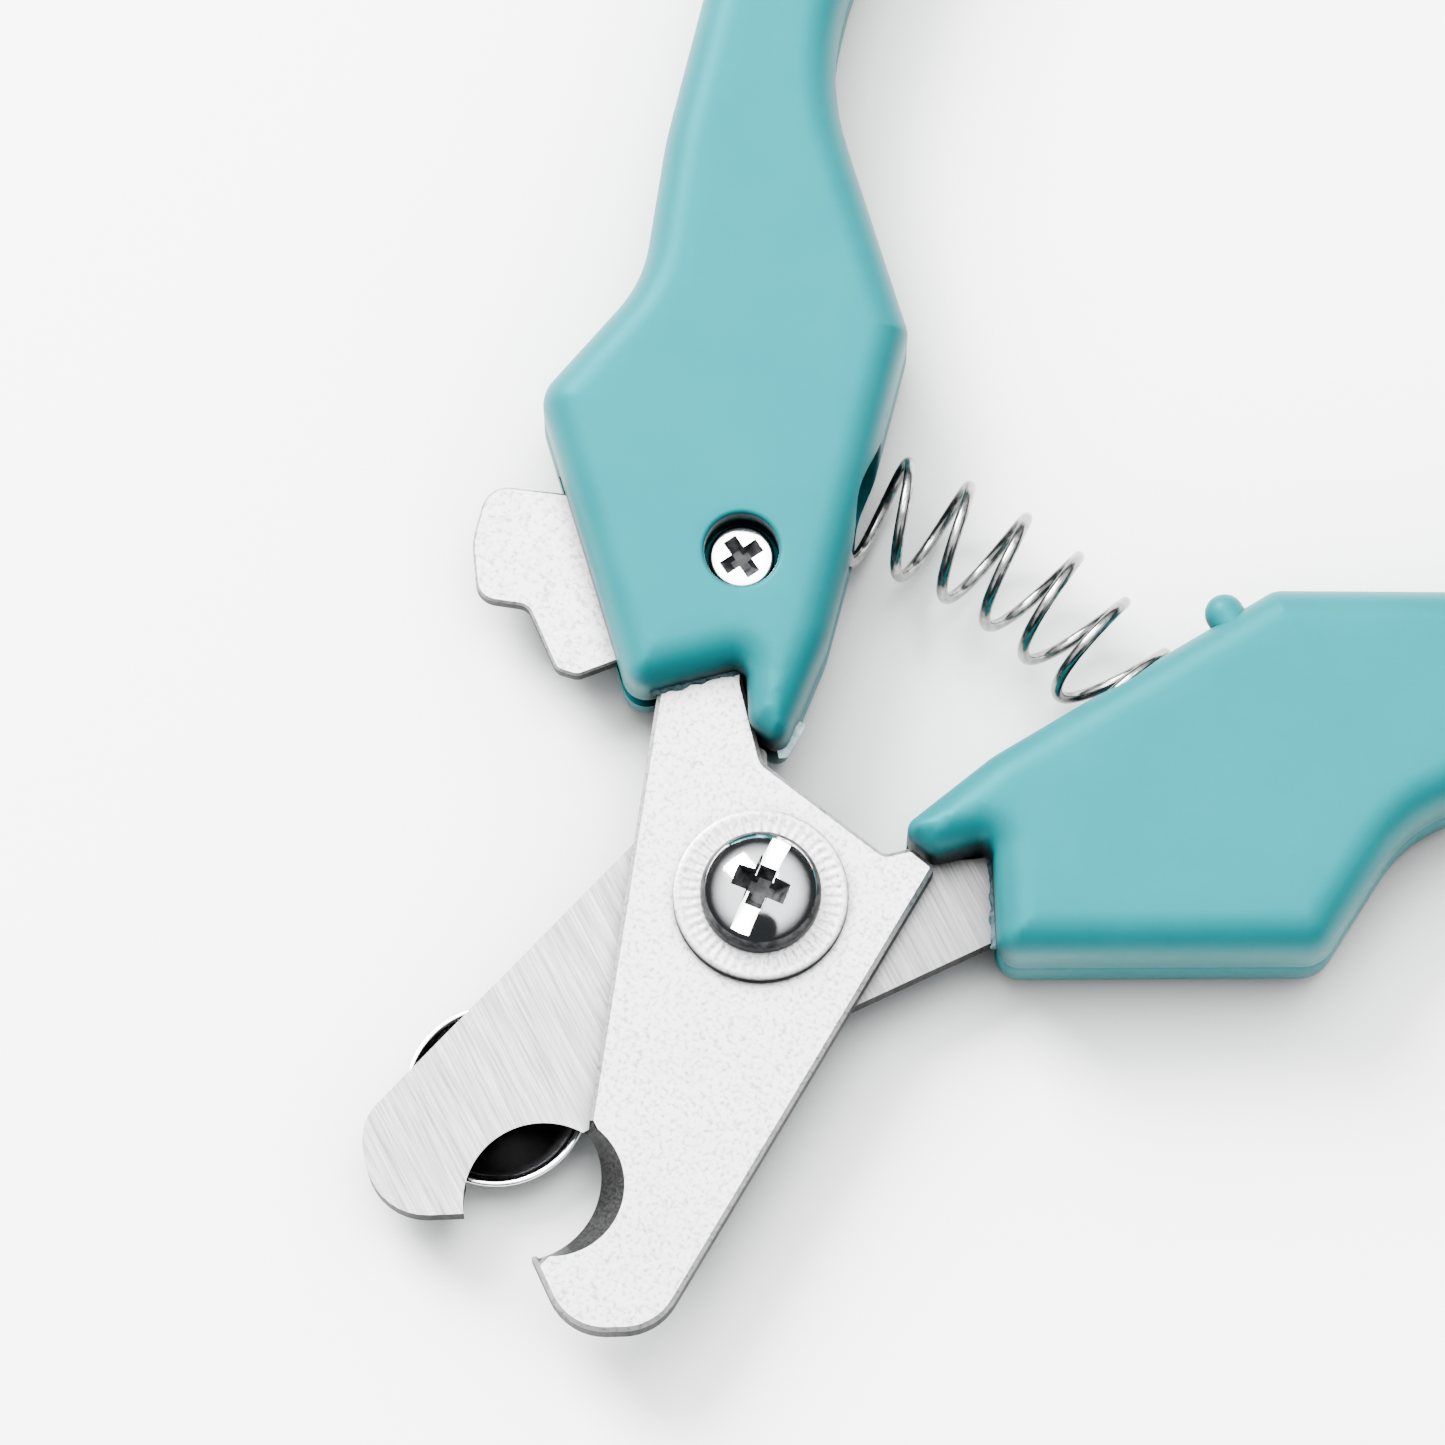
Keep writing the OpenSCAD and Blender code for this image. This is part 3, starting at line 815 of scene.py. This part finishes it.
FRONT_TIP = [(0.15, -19.2, 0.2), (2.3, -28.3, 0.3), (7.2, -31.0, 4), (11.9, -27.3, 4)]
REAR_TIP = [(0.15, -19.2, 0.2), (2.9, -28.1, 0.3), (7.6, -31.9, 4), (12.5, -27.7, 3.5)]
BLADE_BODY = [(8.0, 8.6, 0.4), (5.95, 8.7, 0.4), (4.8, 7.3, 0.7), (-5.4, 7.55, 1.2), (-9.9, 11.3, 2),
              (-10.8, 14.2, 2), (-17.9, 31.6, 2), (-23.8, 29.4, 2), (-18.0, 15.0, 4)]
NOTCH_RIM = ((0.5, -23.7), 4.8)
FRONT_NOTCH = ((-1.9, -24.4), 5.6)
REAR_NOTCH = ((-0.5, -24.6), 5.3)
EDGE_LAND = 0.02


def circle_crossing(outside, inside, c, r):
    """Where the way from a point outside the circle to one inside meets it."""
    lo, hi = 0.0, 1.0
    for _ in range(40):
        mid = (lo + hi) / 2
        if np.linalg.norm(outside + (inside - outside) * mid - c) > r:
            lo = mid
        else:
            hi = mid
    return outside + (inside - outside) * lo


def cut_by_circle(loop, centre, r):
    """The outline with the part inside the circle replaced by the circle's arc."""
    loop = resampled(left_turning(loop), BLADE_STEP)
    c = np.array(centre)
    inner = np.linalg.norm(loop - c, axis=1) < r
    first = next(i for i in range(len(loop)) if not inner[i] and inner[i - 1])
    loop = np.roll(loop, -first, axis=0)
    inner = np.roll(inner, -first)
    kept = loop[~inner]
    enter = circle_crossing(kept[-1], loop[len(kept)], c, r)
    leave = circle_crossing(kept[0], loop[-1], c, r)
    a0 = math.atan2(*(enter - c)[::-1])
    a1 = math.atan2(*(leave - c)[::-1])
    sweep = (a1 - a0) % (2 * math.pi) - 2 * math.pi
    mid = c + polar(r, a0 + sweep / 2)
    if not within(np.array([mid]), loop)[0]:
        sweep += 2 * math.pi
    n = max(4, int(abs(sweep) * r / BLADE_STEP))
    return np.concatenate([kept, np.array(arc(c, r, a0, sweep, n))])


def blade_height(plain, notch, z_face, z_back):
    """Flat face with a chamfer along the outline and a bevel from the cutting edge up to the notch's rim.
    Between the two, t is how far a point has come from the edge's circle to the rim's."""
    way = 1 if z_face > z_back else -1
    low_c, low_r = np.array(notch[0]), notch[1]
    rim_c, rim_r = np.array(NOTCH_RIM[0]), NOTCH_RIM[1]

    def height(points):
        d = np.minimum(distance(points, plain), CHAMFER)
        edge = BLADE_T - (CHAMFER - d)
        lo = np.zeros(len(points))
        hi = np.ones(len(points))
        for _ in range(24):
            t = (lo + hi) / 2
            c = low_c + (rim_c - low_c) * t[:, None]
            r = low_r + (rim_r - low_r) * t
            outside = np.linalg.norm(points - c, axis=1) > r
            lo = np.where(outside, t, lo)
            hi = np.where(outside, hi, t)
        near = np.linalg.norm(points - low_c, axis=1) < low_r + 4
        bevel = np.where(near & (lo < 0.999), BLADE_T * np.maximum(lo, EDGE_LAND), BLADE_T)
        return z_back + way * np.minimum(edge, bevel)
    return height


def blade(name, tip, notch, z_back, z_face, mat, wall, side):
    """A blade with a chamfered outline, a ground notch, and cut sides painted darker as painted shade."""
    plain = resampled(left_turning(rounded(tip + BLADE_BODY)), BLADE_STEP)
    loop = cut_by_circle(plain, notch[0], notch[1])
    rim_c, rim_r = np.array(NOTCH_RIM[0]), NOTCH_RIM[1]
    rim = np.array(arc(rim_c, rim_r, math.radians(-150), math.radians(300), 110))
    rim = rim[within(rim, loop) & (distance(rim, plain) > CHAMFER)]
    inner = ring_points(plain, [CHAMFER])
    clear = np.linalg.norm(inner - rim_c, axis=1) > rim_r
    inner = inner[within(inner, loop) & clear]
    grid = grid_points(loop, 2.5, 1.0)
    obj = solid(name, loop, blade_height(plain, notch, z_face, z_back), z_back, mat,
                np.concatenate([inner, grid]), [rim], smooth=25)
    # the notch's sloped bevel takes the near-black notch material, as painted shade
    obj.data.materials.append(wall)
    for p in obj.data.polygons:
        m = np.array([p.center[:2]]) / MM
        sloped = abs(p.normal.z) < 0.98
        if sloped and np.linalg.norm(m - rim_c) < rim_r + 0.05 and within(m, plain)[0]:
            if distance(m, plain)[0] > CHAMFER * 0.6:
                p.material_index = 1
    shade_sides(obj, side)
    return obj


def rough_edge(a, b, width, wobble, steps):
    """Outline of a thin line of flash from a to b: ragged on its right, straight on its left."""
    along = unit(b - a)
    out = np.array([along[1], -along[0]])
    rng = np.random.default_rng(7)
    waves = np.convolve(rng.random(steps + 5), np.ones(5) / 5, "valid")
    far = []
    for i in range(steps + 1):
        swell = width(i / steps) + wobble * (waves[i] - 0.5)
        far.append(a + (b - a) * i / steps + out * swell)
    near = [b - out * 0.5 - along * 0.3, a - out * 0.5]
    return left_turning(np.array(far + near))


def flash_and_shade_strip(name, z, mat):
    """Rough edge of plastic that crept along the blade's root in moulding, left-hand side; its dark
    material is painted shade.
    """
    loop = rough_edge(ROOT_OUTER, ROOT_INNER, lambda t: 0.34, 0.40, 46)

    def height(points):
        d = np.minimum(distance(points, loop), 0.15)
        return z + 0.05 + d * 0.9
    pts = np.concatenate([ring_points(loop, [0.06, 0.15]), grid_points(loop, 0.25, 0.2)])
    return solid(name, loop, height, z - 0.02, mat, thinned(pts), smooth=60)


def nose_flash(mat):
    """Thin pale fin of plastic along the seam at the tip of the left handle's nose."""
    def width(t):
        return (0.10 + 0.55 * t) * min(1.0, 5 * (1 - t) + 0.1) - 0.12

    loop = rough_edge(NOSE_INNER, NOSE_TIP, width, 0.12, 24)
    z = MID_Z + 0.35

    def height(points):
        return z + 0.10 * np.minimum(distance(points, loop), 0.2)
    pts = np.concatenate([ring_points(loop, [0.08]), grid_points(loop, 0.25, 0.2)])
    return solid("nose_flash", loop, height, z - 0.12, mat, thinned(pts), smooth=60)


def mirror_object(obj):
    """Mirrors the mesh in X and keeps its faces facing out."""
    obj.data.transform(Matrix.Diagonal((-1, 1, 1, 1)))
    obj.data.flip_normals()


def build_blades(mat, ground, wall, side):
    front = blade("blade_front", FRONT_TIP, FRONT_NOTCH, MID_Z, FRONT_Z, mat, wall, side)
    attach(front, "left_half")
    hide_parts("front_blade")
    rear = blade("blade_rear", REAR_TIP, REAR_NOTCH, REAR_TOP, REAR_TOP - BLADE_T, ground, wall, side)
    mirror_object(rear)
    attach(rear, "right_half")
    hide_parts("rear_blade")


# ---- pivot ----

def serrated_washer(mat):
    """Washer with a band of radial serrations on its face. Its profile's points are (radius, height,
    whether the serrations cut there)."""
    teeth, per = 48, 8
    n = teeth * per
    z0, z1 = FRONT_Z, WASHER_TOP
    inner, outer = 2.15, 5.8
    start, end = 4.15, 5.35
    depth = 0.05
    rows = [(inner, z0, 0), (inner, z1, 0),
            (start, z1, 0), (start + 0.15, z1, 1), (end - 0.1, z1, 1), (end + 0.05, z1, 0),
            (outer - 0.18, z1, 0), (outer - 0.05, z1 - 0.05, 0), (outer, z1 - 0.18, 0), (outer, z0, 0)]
    verts = []
    for r, z, cut in rows:
        for i in range(n):
            p = polar(r, 2 * math.pi * i / n)
            tooth = 0.5 - 0.5 * math.cos(2 * math.pi * i / per)
            verts.append((p[0], p[1], z - cut * depth * tooth))
    faces = []
    m = len(rows)
    for k in range(m):
        for i in range(n):
            j = (i + 1) % n
            a, b = k * n, ((k + 1) % m) * n
            faces.append((a + i, b + i, b + j, a + j))
    return make_object("washer_serrated", verts, faces, mat, 30)


def cross_cutter(top, depth, size, width, turn, mat, place=(0, 0)):
    """Tapered cross recess: two crossed wedges that narrow towards the bottom."""
    tools = []
    for k in (0, 1):
        a = turn + k * math.pi / 2
        u, v = polar(1, a), polar(1, a + math.pi / 2)
        verts = []
        for z, s, w in ((top + 0.8, size * 1.25, width * 1.2), (top - depth, size * 0.42, width * 0.55)):
            for i, j in ((-1, -1), (1, -1), (1, 1), (-1, 1)):
                p = np.array(place) + u * i * s / 2 + v * j * w / 2
                verts.append((p[0], p[1], z))
        faces = [(0, 1, 2, 3), (7, 6, 5, 4), (0, 4, 5, 1), (1, 5, 6, 2), (2, 6, 7, 3), (3, 7, 4, 0)]
        tools.append(make_object("cut_cross%d" % k, verts, faces, mat))
    return tools


def pan_screw(mat, recess):
    """Pan head with a slot across it and a cross recess in its middle, with painted shade round its foot.
    """
    z0 = WASHER_TOP
    r, h, shank_r = 4.0, 3.1, 2.0
    dome_r, edge_r = 5.6, 1.1
    reach = r - edge_r
    limit = math.asin(reach / (dome_r - edge_r))
    base = z0 + h - dome_r
    edge_z = base + (dome_r - edge_r) * math.cos(limit)
    rise = 90 - math.degrees(limit)
    profile = [(0, 0), (shank_r, 0), (shank_r, z0), (r - 0.1, z0), (r, z0 + 0.1)]
    profile += quarter(reach, edge_z, edge_r, 0, rise, 12)
    profile += quarter(0, base, dome_r, rise, 90 - rise, 12)[1:-1]
    profile += [(0, z0 + h)]
    screw = lathe("screw_pivot", profile, mat, 128, smooth=40)
    top = z0 + h
    turn = math.radians(102)
    u, v = polar(1, turn), polar(1, turn + math.pi / 2)
    long, wide, deep = 12, 1.3, 1.15
    loop = [u * i * long / 2 + v * j * wide / 2 for i, j in ((-1, -1), (1, -1), (1, 1), (-1, 1))]
    slot = prism("cut_slot", np.array(loop), top - deep, top + 1)
    carve(screw, [slot] + cross_cutter(top, 2.2, 4.0, 1.5, turn + math.radians(2), recess), smooth=32)
    # painted dark reflection and shade: the steep flank round the head's foot takes the near-black recess
    # material
    for p in screw.data.polygons:
        if p.center.xy.length / MM > r - 0.9 and abs(p.normal.z) < 0.72:
            p.material_index = 1
    soften(screw, 0.07)
    return screw


def soften(obj, width):
    """A small bevel on the sharp edges, for a highlight along them."""
    mod = obj.modifiers.new("soften", "BEVEL")
    mod.width = width * MM
    mod.segments = 2
    mod.limit_method = "ANGLE"
    mod.angle_limit = math.radians(38)
    mod.harden_normals = False


def recessed_screw(mat, recess):
    """Lock screw: a flat bright head with a cross recess."""
    top, under = LOCK_HEAD_TOP, LOCK_HEAD_TOP - LOCK_HEAD_T
    r, shank_r, edge = 2.2, 1.15, 0.25
    profile = [(0, 1.0), (shank_r, 1.0), (shank_r, under), (r, under), (r, top - edge)]
    profile += quarter(r - edge, top - edge, edge, 0, 90, 4)[1:]
    profile += [(0, top)]
    screw = lathe("screw_lock", profile, mat, 96, Matrix.Translation((*LOCK_AXIS, 0)), 40)
    carve(screw, cross_cutter(top, 1.0, 3.3, 1.05, math.radians(70.6), recess, LOCK_AXIS), smooth=30)
    soften(screw, 0.05)
    return screw


def build_strips(mat, pale):
    left = flash_and_shade_strip("strip_left", FRONT_Z, mat)
    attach(left, "left_half")
    fin = nose_flash(pale)
    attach(fin, "left_half")
    right = flash_and_shade_strip("strip_right", REAR_TOP, mat)
    mirror_object(right)
    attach(right, "right_half")


def build_hardware(plated, recess, steel, side):
    washer = serrated_washer(steel)
    shade_sides(washer, side)
    for piece, node, slot in ((washer, "pivot_washer", "blade_steel"),
                              (pan_screw(plated, recess), "pivot_screw", "plated_steel"),
                              (recessed_screw(plated, recess), "lock_screw", "plated_steel")):
        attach(piece, "left_half")
        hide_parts(node)


# ---- lock ----

LOCK_OUTLINE = [(-17.3, -5.2, 1.8), (-15.8, -9.0, 5), (-13.1, -12.0, 1.5), (-10.1, -10.4, 1.0),
                (-5.9, -12.8, 0.9), (-4.5, -12.3, 0.9), (-2.9, -9.8, 1.5),
                (-1.0, -2.9, 0.2), (2.9, -1.0, 1.0), (1.6, 2.4, 1.0), (-1.7, 2.3, 1.0), (-2.6, -0.5, 0.6),
                (-11.5, -1.9, 1.5)]


def build_lock(mat, side):
    loop = resampled(left_turning(rounded(LOCK_OUTLINE)), 0.3) + np.array(LOCK_AXIS)
    edge = 0.16

    def height(points):
        return LOCK_Z + LOCK_T - (edge - np.minimum(distance(points, loop), edge))
    pts = np.concatenate([ring_points(loop, [edge]), grid_points(loop, 2.0, 0.8)])
    plate = solid("plate_lock", loop, height, LOCK_Z, mat, pts, seam=0.1, smooth=25)
    shade_sides(plate, side)
    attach(plate, "lock")
    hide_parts("lock_plate")


# ---- guard ----

def bowl(flat, r, low, high, n=14):
    """Profile that rises from the edge of a flat floor to an upright rim."""
    angles = [math.pi / 2 * i / n for i in range(n + 1)]
    return [(flat + (r - flat) * math.sin(a), low + (high - low) * (1 - math.cos(a))) for a in angles]


def build_guard(plated, dark):
    """Cup with a thin bright rim, open towards the blades."""
    floor, rim, r, wall, flat, hole = 1.25, 3.2, 6.15, 0.4, 2.6, 0.8
    crown = 0.12
    top = rim - crown
    lip = quarter(r - wall / 2, top, wall / 2, 0, 180, 8)[1:-1]
    lip = [(x, top + (z - top) * crown / (wall / 2)) for x, z in lip]
    inner = bowl(flat, r - wall, floor + wall, top)[::-1]
    profile = [(hole, floor)] + bowl(flat, r, floor, top) + lip + inner
    profile += [(hole, floor + wall), (hole, floor)]
    turn = Matrix.Rotation(-GUARD_ANGLE, 4, "Z") @ Matrix.Translation((0, -CUP_REACH, 0))
    cup = lathe("cup_guard", profile, plated, 128, turn, 40)
    cup.data.materials.append(dark)
    centre = turn @ Vector((0, 0, 0))
    # painted shade: the faces inside the cup take the dark plating
    for p in cup.data.polygons:
        m = p.center / MM - centre
        if m.xy.length < r - wall and p.normal.z > 0:
            p.material_index = 1
    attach(cup, "guard")
    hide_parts("guard_cup")


# ---- spring ----

END_PITCH = 0.9
ROOM = POCKET_DEPTH - WIRE_D / 2 - 0.1
ARC_LEN = SPRING_REACH * 2 * FACE_ANGLE
OPEN_PITCH = SPRING_REACH * math.radians(7.9)
SPRING_LEN = ARC_LEN + 2 * ROOM
OPEN_TURNS = (SPRING_LEN - 2 * END_PITCH) / OPEN_PITCH
TURNS = OPEN_TURNS + 2


def along_spring(t):
    """Distance along the spring's axis after t turns: a closed turn at each end, open ones between."""
    if t < 1:
        return t * END_PITCH
    if t < 1 + OPEN_TURNS:
        return END_PITCH + (t - 1) * OPEN_PITCH
    return SPRING_LEN - (TURNS - t) * END_PITCH


def spring_axis(s):
    """Point and angle of the axis: straight in each pocket, bent about the pivot between."""
    part = min(max((s - ROOM) / ARC_LEN, 0.0), 1.0)
    a = FACE_ANGLE - part * 2 * FACE_ANGLE
    over = s - ROOM if s < ROOM else max(0.0, s - ROOM - ARC_LEN)
    c = SPRING_REACH * np.array([-math.sin(a), math.cos(a)]) + over * np.array([math.cos(a), math.sin(a)])
    return c, a


def wire_point(t):
    c, a = spring_axis(along_spring(t))
    w = 2 * math.pi * t
    r = (SPRING_OD - WIRE_D) / 2
    side = np.array([-math.sin(a), math.cos(a)])
    p = c + side * r * math.cos(w)
    return np.array([p[0], p[1], MID_Z + r * math.sin(w)])


def build_spring(mat):
    rings = int(TURNS * 48)
    sides = 14
    around = [polar(WIRE_D / 2, 2 * math.pi * j / sides) for j in range(sides)]
    verts = []
    for k in range(rings + 1):
        t = TURNS * k / rings
        p = wire_point(t)
        d = unit(wire_point(t + 0.004) - wire_point(t - 0.004))
        c, _ = spring_axis(along_spring(t))
        out = unit(p - np.array([c[0], c[1], MID_Z]))
        u = unit(out - d * float(out @ d))
        w = np.cross(d, u)
        verts += [p + u * x + w * y for x, y in around]
    faces = []
    for k in range(rings):
        here, after = k * sides, (k + 1) * sides
        for j in range(sides):
            i = (j + 1) % sides
            faces.append((here + j, here + i, after + i, after + j))
    faces.append(tuple(range(sides))[::-1])
    faces.append(tuple(rings * sides + j for j in range(sides)))
    spring = make_object("spring_return", verts, faces, mat, 50)
    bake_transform(spring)
    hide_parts("return_spring")


# ---- CAD nodes that stay, with finished materials ----

def repaint(names, mat):
    for name in names:
        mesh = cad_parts[name].data
        mesh.materials.clear()
        mesh.materials.append(mat)


# ---- stage: floor, light and camera ----

VIEW_RIGHT = Vector((0.8028, 0.5962, 0))
VIEW_AWAY = Vector((-0.5962, 0.8028, 0))
TILT = math.radians(15)
FOCAL_PX = 9060.0
IMAGE_PX = 1445.0
SENSOR = 36.0
STAND_OFF = 600.0
SHIFT_RIGHT = -2.517
SHIFT_UP = 12.086
LIGHT_AIM = Vector((0, 0.02, 0))


def view_axes():
    z = Vector((0, 0, 1))
    up = VIEW_AWAY * math.cos(TILT) + z * math.sin(TILT)
    back = z * math.cos(TILT) - VIEW_AWAY * math.sin(TILT)
    return VIEW_RIGHT.normalized(), up.normalized(), back.normalized()


def build_camera():
    right, up, back = view_axes()
    pos = Vector((0, 0, MID_Z)) + right * SHIFT_RIGHT + up * SHIFT_UP + back * STAND_OFF
    cam = bpy.data.cameras.new("camera")
    cam.sensor_width = SENSOR
    cam.lens = SENSOR * FOCAL_PX / IMAGE_PX
    cam.clip_start = 0.01
    cam.clip_end = 20
    obj = in_scene("camera", cam)
    turn = Matrix((right, up, back)).transposed().to_4x4()
    obj.matrix_world = Matrix.Translation(pos * MM) @ turn
    bpy.context.scene.camera = obj


def area_light(name, way, reach, size, watts):
    """A square area light in the direction way = (right, away, up), as seen in the picture.
    Its reach and size are in metres."""
    lamp = bpy.data.lights.new(name, "AREA")
    lamp.size = size
    lamp.energy = watts
    obj = in_scene(name, lamp)
    d = (VIEW_RIGHT * way[0] + VIEW_AWAY * way[1] + Vector((0, 0, way[2]))).normalized()
    obj.location = LIGHT_AIM + d * reach
    obj.rotation_euler = d.to_track_quat("Z", "Y").to_euler()


def build_world():
    """A soft white sky over a dark horizon, with a dark patch where the camera stands."""
    world = bpy.data.worlds.new("studio")
    bpy.context.scene.world = world
    n = Nodes(world)
    coords = n.add("ShaderNodeTexCoord")

    def toward(way, low, high):
        """0 to 1 as the direction turns from one angle off way to the other, in degrees."""
        dot = n.add("ShaderNodeVectorMath", operation="DOT_PRODUCT")
        dot.inputs[1].default_value = tuple(way)
        n.link(coords.outputs["Generated"], dot.inputs[0])
        at = (math.cos(math.radians(low)), math.cos(math.radians(high)))
        return n.span(dot.outputs["Value"], 0.0, 1.0, at, "SMOOTHSTEP")

    up = Vector((0, 0, 1))
    rise = math.radians(42)
    viewer = up * math.sin(rise) - VIEW_AWAY * math.cos(rise)
    lean = math.radians(7)
    crown = up * math.cos(lean) + VIEW_AWAY * math.sin(lean)
    dark = (0.012, 0.013, 0.014)
    sky = n.mix(toward(crown, 73, 42), dark, (0.96, 0.98, 1.0))
    sky = n.mix(toward(viewer, 26, 19), sky, dark)
    back = n.tree.nodes["Background"]
    n.put(back.inputs["Color"], sky)
    n.put(back.inputs["Strength"], 2.9)


def build_stage():
    edge = 2000
    corners = [(-edge, -edge, 0), (edge, -edge, 0), (edge, edge, 0), (-edge, edge, 0)]
    floor = make_object("floor", corners, [(0, 1, 2, 3)], floor_paper())
    build_world()
    area_light("key", (-0.75, 1.00, 1.1), 0.9, 0.45, 56)
    area_light("top", (0.05, 0.30, 1.0), 1.1, 0.7, 30)


def main():
    teal = teal_plastic()
    steel = blade_steel()
    ground = ground_steel()
    wall = shaded_notch_steel()
    side = shaded_cut_steel()
    plated = plated_steel()
    wire = spring_steel()
    build_handles(teal)
    build_blades(steel, ground, wall, side)
    build_hardware(plated, recess_painted_shade(), steel, side)
    build_lock(steel, side)
    build_guard(plated, cup_inside_shade())
    build_strips(flash_and_shade_plastic(), flash_plastic())
    build_spring(wire)
    repaint(["left_tang_pins", "right_tang_pins", "pivot_nut", "lock_nut", "guard_rivet"], plated)
    repaint(["pivot_spring_washer"], wire)
    repaint(["guard_washer", "lock_washer", "guard_arm"], steel)
    build_stage()
    build_camera()
    bpy.context.view_layer.update()


main()
